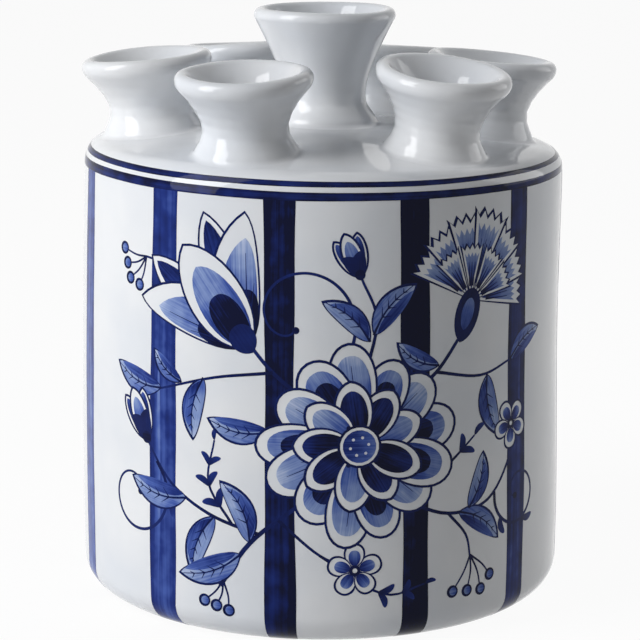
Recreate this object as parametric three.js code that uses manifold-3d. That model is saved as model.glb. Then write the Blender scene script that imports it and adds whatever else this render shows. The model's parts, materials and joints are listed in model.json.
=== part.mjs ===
// Tulip vase: a round drum, a domed shoulder and seven trumpet spouts over one water chamber.
// Every piece is shaped alone and luted to the next with slip, so each one is a solid of its own.
// Millimetres, +Z up, the front faces -Y. The origin is the middle of the foot, on the table.

import * as THREE from 'three';
import { mergeVertices } from 'three/addons/utils/BufferGeometryUtils.js';
import Module from 'manifold-3d';

// Drum: a straight wall on a floor, with a soft bottom edge and a dry foot ring.
const DRUM_RADIUS = 80;
const BELLY = 81;
const SEAM_RADIUS = 79;
const SEAM_HEIGHT = 143;
const WALL = 5.5;
const FLOOR = 6;
const FOOT_EDGE_RISE = 10.5;
const FOOT_EDGE_RUN = 13;
const FOOT_RING_INNER = 56;
const FOOT_RECESS = 2;
const INNER_CORNER = 10;

// Shoulder: a turned-over edge, then a low dome, with a rib that locates it inside the wall.
const EDGE_RUN = 7.3;
const EDGE_RISE = 7.1;
const DOME_HEIGHT = 156.1;
const SHOULDER_THICKNESS = 5.5;
const RIB_DEPTH = 4.5;
const RIB_WIDTH = 4;

// The shoulder settled in the kiln: its top falls by this much at the wall towards the back right.
const SETTLE = 1.5;
const SETTLE_TURN = 120;

// Spouts: what the outer six share, and where the middle one differs.
const OUTER_SPOUT = {
  throat: 9.7,
  foot: 17.4,
  waist: 13.6,
  waistHeight: 7.8,
  lipCentre: 19.3,
  lipRadius: 2.5,
  flareAngle: 44,
};
const CENTRE_SPOUT = {
  throat: 9.7,
  foot: 18.8,
  waist: 13.7,
  waistHeight: 8.4,
  lipCentre: 21.2,
  lipRadius: 2.3,
  flareAngle: 28,
  height: 37.6,
};

// The pull of a spout's curves: how hollow its foot is, and how long the flare, the cone and the throat
// stay straight, as shares of the height between the waist and the lip.
const FOOT_HOLLOW = { spread: 0.9, height: 0.35 };
const FLARE_PULL = 0.36;
const WAIST_PULL = 0.23;
const THROAT_PULL = 0.5;
const THROAT_TOP = 0.1;

// Where each outer spout stands: degrees from the front towards +X, distance from the axis, how far
// it leans out, and its height. They are set by hand on the real vase, so they differ a little.
const OUTER_PLACES = [
  { name: 'spout_front_left', turn: -25, reach: 57, lean: 4.7, height: 25.8 },
  { name: 'spout_front_right', turn: 40, reach: 54.5, lean: 8.8, height: 27.2 },
  { name: 'spout_right', turn: 95, reach: 53.5, lean: 5.2, height: 26 },
  { name: 'spout_back_right', turn: 158, reach: 55, lean: 6, height: 24.3 },
  { name: 'spout_back_left', turn: -151, reach: 56, lean: 6, height: 24.2 },
  { name: 'spout_left', turn: -85, reach: 56.3, lean: 5.3, height: 25.3 },
];

// The slip joints: the gap left between two pieces, how far a spout is cut long before seating, and the
// length of the cut that opens its throat through the shoulder.
const JOINT_GAP = 0.3;
const SPARE_LENGTH = 6;
const SPARE_SPREAD = 2;
const THROAT_CUT_LENGTH = 33;

// Steps in a full turn, and in each curve of an outline, for the big pieces and for the spouts.
const BIG = { turn: 72, curve: 3 };
const SMALL = { turn: 24, curve: 4 };

const GLAZE_COLOUR = 0xe6eaee;
const GLAZE_ROUGHNESS = 0.12;

const wasm = await Module();
wasm.setup();

const radians = THREE.MathUtils.degToRad;

// A closed outline in the (radius, height) plane, turned about the +Z axis.
function revolve(outline, steps) {
  const geometry = new THREE.LatheGeometry(outline.getPoints(steps.curve), steps.turn);
  geometry.rotateX(Math.PI / 2);
  return geometry;
}

// A closed three.js geometry as a solid that can be cut.
function toSolid(geometry) {
  geometry.deleteAttribute('normal');
  geometry.deleteAttribute('uv');
  const merged = mergeVertices(geometry);
  const corners = merged.index.array;
  const kept = [];
  for (let i = 0; i < corners.length; i += 3) {
    const [a, b, c] = corners.slice(i, i + 3);
    if (a !== b && b !== c && c !== a) kept.push(a, b, c);
  }
  return new wasm.Manifold(new wasm.Mesh({
    numProp: 3,
    vertProperties: new Float32Array(merged.attributes.position.array),
    triVerts: new Uint32Array(kept),
  }));
}

// A cut solid as a three.js geometry again.
function toGeometry(solid) {
  const mesh = solid.getMesh();
  const geometry = new THREE.BufferGeometry();
  geometry.setAttribute('position', new THREE.BufferAttribute(mesh.vertProperties, 3));
  geometry.setIndex(new THREE.BufferAttribute(mesh.triVerts, 1));
  geometry.computeVertexNormals();
  return geometry;
}

// The drum's outline: foot ring, soft bottom edge, straight wall, seam face, and back down inside.
function drumOutline() {
  const inside = SEAM_RADIUS - WALL;
  const floorTop = FOOT_RECESS + FLOOR;
  const outline = new THREE.Path();
  outline.moveTo(0, FOOT_RECESS);
  outline.lineTo(FOOT_RING_INNER, FOOT_RECESS);
  outline.lineTo(FOOT_RING_INNER + FOOT_RECESS, 0);
  outline.lineTo(DRUM_RADIUS - FOOT_EDGE_RUN, 0);
  outline.absellipse(
    DRUM_RADIUS - FOOT_EDGE_RUN, FOOT_EDGE_RISE, FOOT_EDGE_RUN, FOOT_EDGE_RISE, -Math.PI / 2, 0,
  );
  outline.quadraticCurveTo(BELLY, SEAM_HEIGHT / 2, SEAM_RADIUS, SEAM_HEIGHT);
  outline.lineTo(inside, SEAM_HEIGHT);
  outline.lineTo(inside, floorTop + INNER_CORNER);
  outline.absarc(inside - INNER_CORNER, floorTop + INNER_CORNER, INNER_CORNER, 0, -Math.PI / 2, true);
  outline.lineTo(0, floorTop);
  return outline;
}

// The turned-over edge ends at this angle, where the dome takes over.
const EDGE_END = radians(82);
const DOME_RADIUS = SEAM_RADIUS - EDGE_RUN + EDGE_RUN * Math.cos(EDGE_END);
const DOME_FOOT = SEAM_HEIGHT + EDGE_RISE * Math.sin(EDGE_END);

// The dome's height at a distance from the axis.
function domeHeight(radius) {
  return DOME_HEIGHT - (DOME_HEIGHT - DOME_FOOT) * (radius / DOME_RADIUS) ** 2;
}

// How far a point of the shoulder has sunk: nothing at the seam, and the full fall above the edge.
function sunk(x, y, z) {
  const around = radians(SETTLE_TURN);
  const downhill = (x * Math.sin(around) - y * Math.cos(around)) / SEAM_RADIUS;
  const share = THREE.MathUtils.clamp((z - SEAM_HEIGHT - JOINT_GAP) / EDGE_RISE, 0, 1);
  return SETTLE * downhill * share;
}

// The settling, put on every corner of a geometry.
function settle(geometry) {
  const place = geometry.attributes.position;
  for (let i = 0; i < place.count; i += 1) {
    const [x, y, z] = [place.getX(i), place.getY(i), place.getZ(i)];
    place.setZ(i, z - sunk(x, y, z));
  }
  return geometry;
}

// The shoulder's top, raised by a lift, from the wall over the edge and along the dome to the axis.
function addShoulderTop(outline, lift) {
  outline.absellipse(
    SEAM_RADIUS - EDGE_RUN, SEAM_HEIGHT + lift, EDGE_RUN, EDGE_RISE, 0, EDGE_END,
  );
  outline.quadraticCurveTo(DOME_RADIUS / 2, DOME_HEIGHT + lift, 0, DOME_HEIGHT + lift);
}

function shoulderOutline() {
  const ribOuter = SEAM_RADIUS - WALL - JOINT_GAP;
  const ribInner = ribOuter - RIB_WIDTH;
  const seat = SEAM_HEIGHT + JOINT_GAP;
  const ribFoot = SEAM_HEIGHT - RIB_DEPTH;
  const outline = new THREE.Path();
  outline.moveTo(ribOuter, seat);
  outline.lineTo(SEAM_RADIUS, seat);
  addShoulderTop(outline, JOINT_GAP);
  outline.lineTo(0, DOME_HEIGHT - SHOULDER_THICKNESS);
  outline.quadraticCurveTo(
    ribInner / 2, DOME_HEIGHT - SHOULDER_THICKNESS, ribInner, domeHeight(ribInner) - SHOULDER_THICKNESS,
  );
  outline.lineTo(ribInner, ribFoot);
  outline.lineTo(ribOuter, ribFoot);
  outline.lineTo(ribOuter, seat);
  return outline;
}

// All that lies under the shoulder's top and its slip joint: what a spout's foot is cut back to.
function seatOutline() {
  const outline = new THREE.Path();
  outline.moveTo(0, 0);
  outline.lineTo(SEAM_RADIUS, 0);
  addShoulderTop(outline, 2 * JOINT_GAP);
  return outline;
}

// A trumpet spout's outline, measured up its own axis from the shoulder: the spread foot, the waist,
// the flare, the rolled lip, and the funnel inside that narrows to the throat.
function spoutOutline({ throat, foot, waist, waistHeight, lipCentre, lipRadius, flareAngle, height }) {
  const lean = radians(flareAngle);
  const flare = new THREE.Vector2(Math.sin(lean), Math.cos(lean));
  const out = new THREE.Vector2(Math.cos(lean), -Math.sin(lean));
  const lip = new THREE.Vector2(lipCentre, height - lipRadius);
  const flareEnd = lip.clone().addScaledVector(out, lipRadius);
  const funnelEnd = lip.clone().addScaledVector(out, -lipRadius);
  const rise = flareEnd.y - waistHeight;
  const spread = flareEnd.clone().addScaledVector(flare, -FLARE_PULL * rise);
  const cone = funnelEnd.clone().addScaledVector(flare, -FLARE_PULL * rise);
  const throatPull = waistHeight + THROAT_PULL * rise;
  const throatTop = waistHeight + THROAT_TOP * rise;

  const outline = new THREE.Path();
  outline.moveTo(throat, -SPARE_LENGTH);
  outline.lineTo(foot + SPARE_SPREAD, -SPARE_LENGTH);
  outline.lineTo(foot, 0);
  outline.quadraticCurveTo(
    waist + FOOT_HOLLOW.spread, FOOT_HOLLOW.height * waistHeight, waist, waistHeight,
  );
  outline.bezierCurveTo(
    waist, waistHeight + WAIST_PULL * rise, spread.x, spread.y, flareEnd.x, flareEnd.y,
  );
  outline.absarc(lip.x, lip.y, lipRadius, -lean, Math.PI - lean);
  outline.bezierCurveTo(cone.x, cone.y, throat, throatPull, throat, throatTop);
  outline.lineTo(throat, -SPARE_LENGTH);
  return outline;
}

// The place of a spout: its foot's middle on the shoulder, and its lean away from the axis.
function spoutPlace(reach, turn, lean) {
  const around = radians(turn);
  const x = reach * Math.sin(around);
  const y = -reach * Math.cos(around);
  const top = domeHeight(reach) + JOINT_GAP;
  return new THREE.Matrix4().makeTranslation(x, y, top - sunk(x, y, top))
    .multiply(new THREE.Matrix4().makeRotationZ(around))
    .multiply(new THREE.Matrix4().makeRotationX(radians(lean)));
}

// A solid moved by a matrix.
function moved(solid, matrix) {
  return solid.transform(matrix.elements);
}

// The round hole that a spout stands over.
function throatCutter(throat) {
  const cutter = new THREE.CylinderGeometry(throat, throat, THROAT_CUT_LENGTH, SMALL.turn);
  cutter.rotateX(Math.PI / 2);
  return toSolid(cutter);
}

const glaze = () => new THREE.MeshStandardMaterial({
  color: GLAZE_COLOUR, roughness: GLAZE_ROUGHNESS, metalness: 0,
});

function addPiece(group, name, solid) {
  const mesh = new THREE.Mesh(toGeometry(solid), glaze());
  mesh.name = name;
  group.add(mesh);
}

const spouts = [
  { name: 'centre_spout', shape: CENTRE_SPOUT, place: spoutPlace(0, 0, 0) },
  ...OUTER_PLACES.map(({ name, turn, reach, lean, height }) => (
    { name, shape: { ...OUTER_SPOUT, height }, place: spoutPlace(reach, turn, lean) }
  )),
];

const vase = new THREE.Group();
addPiece(vase, 'drum', toSolid(revolve(drumOutline(), BIG)));

let shoulder = toSolid(settle(revolve(shoulderOutline(), BIG)));
for (const { shape, place } of spouts) {
  shoulder = shoulder.subtract(moved(throatCutter(shape.throat), place));
}
addPiece(vase, 'shoulder', shoulder);

const seat = toSolid(settle(revolve(seatOutline(), BIG)));
for (const { name, shape, place } of spouts) {
  const spout = toSolid(revolve(spoutOutline(shape), SMALL));
  addPiece(vase, name, moved(spout, place).subtract(seat));
}

export default vase;
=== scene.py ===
"""A tulip vase: a white drum with a domed shoulder and seven trumpet spouts, painted in cobalt.

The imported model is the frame. Each piece of clay is thrown again here with a finer wall, a rolled
lip and a foot that melts into the shoulder, and it replaces its CAD node. The blue is laid over the
wall as thin skins of colour, cut from one drawing of the unrolled wall.

Sizes in the fields are millimetres and degrees, as a potter gives them. Meshes are in metres. A
turn is measured from the front and grows to the right. An outline is a list of complex numbers:
radius and height of clay, or width and height of a drawing.
"""

from __future__ import annotations

import cmath
import json
import logging
import math
from collections.abc import Iterable
from dataclasses import dataclass, field
from enum import Enum

import bpy
import numpy as np
from mathutils import Matrix
from mathutils.geometry import delaunay_2d_cdt

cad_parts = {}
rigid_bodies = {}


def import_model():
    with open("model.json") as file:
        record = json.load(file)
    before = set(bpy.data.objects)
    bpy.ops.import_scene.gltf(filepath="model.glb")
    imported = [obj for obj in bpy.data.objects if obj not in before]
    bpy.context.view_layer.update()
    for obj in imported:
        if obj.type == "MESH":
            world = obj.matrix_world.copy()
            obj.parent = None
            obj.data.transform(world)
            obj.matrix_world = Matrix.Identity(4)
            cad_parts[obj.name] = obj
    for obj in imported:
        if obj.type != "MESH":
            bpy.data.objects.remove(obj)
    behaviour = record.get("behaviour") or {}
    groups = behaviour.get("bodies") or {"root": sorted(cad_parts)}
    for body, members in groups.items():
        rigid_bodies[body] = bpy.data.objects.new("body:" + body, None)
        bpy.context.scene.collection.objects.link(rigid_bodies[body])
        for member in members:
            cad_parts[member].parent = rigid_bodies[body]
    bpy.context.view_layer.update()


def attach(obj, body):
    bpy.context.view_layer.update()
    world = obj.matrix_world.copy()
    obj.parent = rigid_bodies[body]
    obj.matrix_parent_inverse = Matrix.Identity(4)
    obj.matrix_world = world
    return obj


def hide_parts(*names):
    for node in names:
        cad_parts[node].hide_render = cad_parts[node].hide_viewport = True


MM = 0.001
BODY = "root"
SHARP_FROM = 38.0  # Edges that turn by more degrees than this are corners.
SAME_POINT_MM = 1e-3  # Points of an outline that lie nearer than this are one.
WELD_MM = 0.002  # Vertices of a thrown piece that lie nearer than this are one.
NOISE_MIDDLE = 0.5  # A noise texture swings about this.

log = logging.getLogger("tulip_vase")

Outline = list[complex]


# Shared small tools


def linear(colour: str) -> tuple[float, float, float, float]:
    """Turns a colour written in sRGB into the linear one that a shader takes.

    Args:
        colour: An sRGB hex value such as "#E9ECEF".

    Returns:
        Red, green, blue and an alpha of 1, linear.
    """
    shares = [int(colour[i : i + 2], 16) / 255 for i in (1, 3, 5)]
    light = [s / 12.92 if s <= 0.04045 else ((s + 0.055) / 1.055) ** 2.4 for s in shares]
    return light[0], light[1], light[2], 1.0


def heading(degrees: float) -> complex:
    """A step of length 1 in a direction: 0 is to the right and 90 is up."""
    return cmath.rect(1.0, math.radians(degrees))


def arc(centre: complex, radii: complex, start: float, end: float, steps: int) -> Outline:
    """Points along an upright ellipse.

    Args:
        centre: Middle of the ellipse.
        radii: Its half width and half height.
        start: Angle of the first point, in degrees.
        end: Angle of the last point, in degrees.
        steps: How many steps lie between them.

    Returns:
        The points, both ends among them.
    """
    turns = [math.radians(start + (end - start) * i / steps) for i in range(steps + 1)]
    return [centre + complex(radii.real * math.cos(t), radii.imag * math.sin(t)) for t in turns]


def bezier(handles: Outline, steps: int) -> Outline:
    """Points along a Bezier curve.

    Args:
        handles: Its first point, its handles and its last point.
        steps: How many steps lie between its ends.

    Returns:
        The points, both ends among them.
    """
    points = []
    for i in range(steps + 1):
        level = list(handles)
        while len(level) > 1:
            level = [a + (b - a) * i / steps for a, b in zip(level, level[1:])]
        points.append(level[0])
    return points


def smooth_through(points: Outline, steps: int) -> Outline:
    """A soft curve that passes through every point.

    Args:
        points: Points to pass, two or more.
        steps: How many steps lie between two of them.

    Returns:
        Points along the curve.
    """
    padded = [2 * points[0] - points[1], *points, 2 * points[-1] - points[-2]]
    curve = [points[0]]
    for before, start, end, after in zip(padded, padded[1:], padded[2:], padded[3:]):
        handles = [start, start + (end - before) / 6, end - (after - start) / 6, end]
        curve += bezier(handles, steps)[1:]
    return curve


def without_repeats(outline: Outline) -> Outline:
    """An outline without the points that two joined curves share.

    Args:
        outline: Points along the joined curves.

    Returns:
        The points that lie apart.
    """
    kept = [outline[0]]
    kept += [b for a, b in zip(outline, outline[1:]) if abs(b - a) > SAME_POINT_MM]
    return kept


def soft_step(share: np.ndarray) -> np.ndarray:
    """A step from 0 to 1 that starts and ends level."""
    held = np.clip(share, 0.0, 1.0)
    return held * held * (3 - 2 * held)


def select_only(*pieces: bpy.types.Object) -> None:
    """Makes these pieces the only ones selected, and the last one active."""
    for other in bpy.context.scene.objects:
        other.select_set(False)
    for piece in pieces:
        piece.select_set(True)
        bpy.context.view_layer.objects.active = piece


def shade_smooth(piece: bpy.types.Object) -> None:
    """Shades a piece smooth, apart from its corners."""
    select_only(piece)
    bpy.ops.object.shade_smooth_by_angle(angle=math.radians(SHARP_FROM))


def apply_modifier(piece: bpy.types.Object, kind: str, **settings: object) -> None:
    """Adds a modifier to a piece and applies it.

    Args:
        piece: The piece to change.
        kind: Blender's name for the modifier, such as "SOLIDIFY".
        settings: Its settings.
    """
    select_only(piece)
    modifier = piece.modifiers.new(kind.title(), kind)
    for name, value in settings.items():
        setattr(modifier, name, value)
    bpy.ops.object.modifier_apply(modifier=modifier.name)


def corners_of(piece: bpy.types.Object) -> np.ndarray:
    """The places of a piece's vertices.

    Args:
        piece: The piece to measure.

    Returns:
        A row for each vertex, in millimetres.
    """
    places = np.zeros(len(piece.data.vertices) * 3)
    piece.data.vertices.foreach_get("co", places)
    return places.reshape(-1, 3) / MM


def move_corners(piece: bpy.types.Object, places: np.ndarray) -> None:
    """Puts a piece's vertices at places given in millimetres."""
    piece.data.vertices.foreach_set("co", (places * MM).ravel())
    piece.data.update()


def turn_on_wheel(name: str, outline: Outline, steps: int) -> bpy.types.Object:
    """Turns a closed profile about the wheel's axis.

    The profile starts from one vertex, is drawn by extruding it from point to point, and is spun
    once round. The poles are then merged and the faces turned outwards.

    Args:
        name: The piece's name.
        outline: Radius and height along the profile, in millimetres.
        steps: Facets in the full turn.

    Returns:
        The closed piece, smooth apart from its corners.
    """
    select_only()
    bpy.ops.mesh.primitive_plane_add(size=MM)
    piece = bpy.context.object
    piece.name = piece.data.name = name
    bpy.ops.object.mode_set(mode="EDIT")
    bpy.ops.mesh.select_mode(type="VERT")
    bpy.ops.mesh.select_all(action="SELECT")
    bpy.ops.mesh.merge(type="CENTER")
    points = without_repeats(outline)
    bpy.ops.transform.translate(value=(points[0].real * MM, 0, points[0].imag * MM))
    for before, after in zip(points, points[1:]):
        step = (after - before) * MM
        move = {"value": (step.real, 0, step.imag)}
        bpy.ops.mesh.extrude_vertices_move(TRANSFORM_OT_translate=move)
    bpy.ops.mesh.select_all(action="SELECT")
    bpy.ops.mesh.spin(steps=steps, angle=2 * math.pi, center=(0, 0, 0), axis=(0, 0, 1))
    bpy.ops.mesh.select_all(action="SELECT")
    bpy.ops.mesh.remove_doubles(threshold=WELD_MM * MM)
    bpy.ops.mesh.normals_make_consistent(inside=False)
    bpy.ops.object.mode_set(mode="OBJECT")
    shade_smooth(piece)
    return piece


def hand_in(piece: bpy.types.Object, *nodes: str) -> None:
    """Makes a finished piece ride with the vase and stand for its CAD node, and reports it.

    Args:
        piece: The finished piece.
        nodes: The name of the CAD node that it replaces. A painted skin replaces none.
    """
    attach(piece, BODY)
    if nodes:
        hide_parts(*nodes)
    triangles = sum(len(face.vertices) - 2 for face in piece.data.polygons)
    log.info("%s: %d triangles", piece.name, triangles)


# Finishes


def add_node(
    tree: bpy.types.NodeTree,
    kind: str,
    settings: dict[str | int, object] | None = None,
    links: dict[str | int, bpy.types.NodeSocket] | None = None,
) -> bpy.types.Node:
    """Adds one shader node with its settings and links.

    Args:
        tree: The material's or the world's node tree.
        kind: The node's type, such as "ShaderNodeTexNoise".
        settings: The node's properties by name, and its inputs' values by their label or number.
        links: The socket that feeds each input, by the input's label or number.

    Returns:
        The new node.
    """
    node = tree.nodes.new(kind)
    for name, value in (settings or {}).items():
        if isinstance(name, str) and hasattr(node, name):
            setattr(node, name, value)
        else:
            node.inputs[name].default_value = value
    for label, socket in (links or {}).items():
        tree.links.new(socket, node.inputs[label])
    return node


def set_ramp(node: bpy.types.Node, stops: tuple[tuple[float, str], ...]) -> None:
    """Sets a colour ramp's stops.

    Args:
        node: The colour ramp.
        stops: The place and the sRGB hex value of each stop.
    """
    elements = node.color_ramp.elements
    while len(elements) > 1:
        elements.remove(elements[-1])
    elements[0].position = stops[0][0]
    elements[0].color = linear(stops[0][1])
    for place, colour in stops[1:]:
        elements.new(place).color = linear(colour)


def new_material(name: str) -> tuple[bpy.types.Material, bpy.types.NodeTree, bpy.types.Node]:
    """Starts a material.

    Args:
        name: The material's name.

    Returns:
        The material, its node tree and its Principled shader.
    """
    material = bpy.data.materials.new(name)
    material.use_nodes = True
    tree = material.node_tree
    return material, tree, tree.nodes["Principled BSDF"]


def noise_of(grain_mm: float, detail: float) -> dict[str, float]:
    """A noise texture's settings for patches of about a size in millimetres."""
    return {"Scale": 1 / (grain_mm * MM), "Detail": detail}


@dataclass(frozen=True)
class WhiteGlaze:
    """Tin-white glaze, poured over fired clay and fired glossy.

    It runs a little, so its gloss is slightly rippled, and where it gathers it turns cooler.

    Attributes:
        colour: Where the glaze is thin.
        gathered: Where it is thick.
        roughness: Of the gloss.
        specular: How strongly it reflects.
        patch_mm: Size of the patches where it gathers.
        patch_edges: The noise's values where a patch ends and where the rest begins.
        ripple_mm: Length of its ripples.
        ripple_height_mm: Their height.
        grain_mm: Size of the fine unevenness of the skin, drawn coarse enough to show.
        grain_height_mm: Its height.
    """

    colour: str = "#E8EAED"
    gathered: str = "#DEE2E8"
    roughness: float = 0.035
    specular: float = 0.4
    patch_mm: float = 45.0
    patch_edges: tuple[float, float] = (0.38, 0.6)
    ripple_mm: float = 11.0
    ripple_height_mm: float = 0.11
    grain_mm: float = 1.6
    grain_height_mm: float = 0.003

    def make(self) -> bpy.types.Material:
        """Builds the material.

        Returns:
            The glaze, ready to use.
        """
        material, tree, shader = new_material("white_glaze")
        place = {"Vector": add_node(tree, "ShaderNodeTexCoord").outputs["Object"]}
        patches = add_node(tree, "ShaderNodeTexNoise", noise_of(self.patch_mm, detail=3.0), place)
        tint = add_node(tree, "ShaderNodeValToRGB", links={"Fac": patches.outputs["Fac"]})
        set_ramp(tint, tuple(zip(self.patch_edges, (self.gathered, self.colour))))
        ripple = add_node(tree, "ShaderNodeTexNoise", noise_of(self.ripple_mm, detail=1.0), place)
        waves = add_node(
            tree,
            "ShaderNodeBump",
            {"Distance": self.ripple_height_mm * MM},
            {"Height": ripple.outputs["Fac"]},
        )
        grain = add_node(tree, "ShaderNodeTexNoise", noise_of(self.grain_mm, detail=1.0), place)
        skin = add_node(
            tree,
            "ShaderNodeBump",
            {"Distance": self.grain_height_mm * MM},
            {"Height": grain.outputs["Fac"], "Normal": waves.outputs["Normal"]},
        )
        tree.links.new(tint.outputs["Color"], shader.inputs["Base Color"])
        tree.links.new(skin.outputs["Normal"], shader.inputs["Normal"])
        shader.inputs["Roughness"].default_value = self.roughness
        shader.inputs["Specular IOR Level"].default_value = self.specular
        return material


@dataclass(frozen=True)
class BareClay:
    """Fired clay wiped free of glaze, so that the foot doesn't stick in the kiln.

    It is matt, sandy to the touch and scorched in patches.

    Attributes:
        colour: Of the clay.
        scorched: Of the patches.
        roughness: Of its matt face.
        patch_mm: Size of the patches.
        patch_edges: The noise's values where a patch ends and where the rest begins.
        sand_mm: Size of a grain.
        sand_height_mm: How far a grain stands out.
    """

    colour: str = "#E4DCCB"
    scorched: str = "#CDBFA6"
    roughness: float = 0.85
    patch_mm: float = 18.0
    patch_edges: tuple[float, float] = (0.38, 0.6)
    sand_mm: float = 0.5
    sand_height_mm: float = 0.08

    def make(self) -> bpy.types.Material:
        """Builds the material.

        Returns:
            The clay, ready to use.
        """
        material, tree, shader = new_material("bare_clay")
        place = {"Vector": add_node(tree, "ShaderNodeTexCoord").outputs["Object"]}
        patches = add_node(tree, "ShaderNodeTexNoise", noise_of(self.patch_mm, detail=4.0), place)
        tint = add_node(tree, "ShaderNodeValToRGB", links={"Fac": patches.outputs["Fac"]})
        set_ramp(tint, tuple(zip(self.patch_edges, (self.scorched, self.colour))))
        sand = add_node(tree, "ShaderNodeTexNoise", noise_of(self.sand_mm, detail=2.0), place)
        bump = add_node(
            tree,
            "ShaderNodeBump",
            {"Distance": self.sand_height_mm * MM},
            {"Height": sand.outputs["Fac"]},
        )
        tree.links.new(tint.outputs["Color"], shader.inputs["Base Color"])
        tree.links.new(bump.outputs["Normal"], shader.inputs["Normal"])
        shader.inputs["Roughness"].default_value = self.roughness
        return material


@dataclass(frozen=True)
class Cobalt:
    """Cobalt oxide brushed on under the gloss of the glaze.

    Thin colour is a clear mid blue and thick colour is nearly black blue. The brush leaves streaks
    along its way, which is kept in the map "brush" in millimetres. "load" says how full it was.

    Attributes:
        name: The material's name.
        streak_mm: Width of the streaks.
        streak_length_mm: Their length.
        streak_amount: How much they add to the load or take from it.
        pool_mm: Size of the pools that wet colour dries in.
        pool_amount: How much these add or take.
        roughness: Of the gloss over it.
        specular: How strongly it reflects.
        stops: The colour at loads from thin to thick.
    """

    name: str
    streak_mm: float = 0.6
    streak_length_mm: float = 20.0
    streak_amount: float = 0.5
    pool_mm: float = 6.0
    pool_amount: float = 0.4
    roughness: float = 0.05
    specular: float = 0.09
    stops: tuple[tuple[float, str], ...] = (
        (0.0, "#BECAE4"),
        (0.25, "#8398C8"),
        (0.5, "#455EAA"),
        (0.72, "#1A2F7A"),
        (0.9, "#0B1B55"),
        (1.05, "#040B30"),
    )

    def make(self) -> bpy.types.Material:
        """Builds the material.

        Returns:
            The cobalt, ready to use.
        """
        material, tree, shader = new_material(self.name)
        brush = add_node(tree, "ShaderNodeUVMap", {"uv_map": "brush"}).outputs["UV"]
        load = add_node(tree, "ShaderNodeAttribute", {"attribute_name": "load"}).outputs["Fac"]
        lane = (1 / self.streak_mm, 1 / self.streak_length_mm, 1.0)
        lanes = add_node(tree, "ShaderNodeMapping", {"Scale": lane}, {"Vector": brush})
        streaks = add_node(
            tree,
            "ShaderNodeTexNoise",
            {"Scale": 1.0, "Detail": 3.0},
            {"Vector": lanes.outputs["Vector"]},
        )
        place = {"Vector": add_node(tree, "ShaderNodeTexCoord").outputs["Object"]}
        pools = add_node(tree, "ShaderNodeTexNoise", noise_of(self.pool_mm, detail=2.0), place)
        streaked = self.add_share(tree, streaks.outputs["Fac"], self.streak_amount, load)
        pooled = self.add_share(tree, pools.outputs["Fac"], self.pool_amount, streaked)
        tint = add_node(tree, "ShaderNodeValToRGB", links={"Fac": pooled})
        set_ramp(tint, self.stops)
        tree.links.new(tint.outputs["Color"], shader.inputs["Base Color"])
        shader.inputs["Roughness"].default_value = self.roughness
        shader.inputs["Specular IOR Level"].default_value = self.specular
        return material

    @staticmethod
    def add_share(
        tree: bpy.types.NodeTree,
        noise: bpy.types.NodeSocket,
        amount: float,
        total: bpy.types.NodeSocket,
    ) -> bpy.types.NodeSocket:
        """Adds to a total a noise that swings evenly about nothing.

        Args:
            tree: The material's node tree.
            noise: A noise texture's value.
            amount: How far its full swing goes.
            total: What it is added to.

        Returns:
            The new total.
        """
        swing = add_node(
            tree, "ShaderNodeMath", {"operation": "SUBTRACT", 1: NOISE_MIDDLE}, {0: noise}
        )
        share = add_node(
            tree,
            "ShaderNodeMath",
            {"operation": "MULTIPLY_ADD", 1: amount},
            {0: swing.outputs[0], 2: total},
        )
        return share.outputs[0]


# The clay


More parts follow.
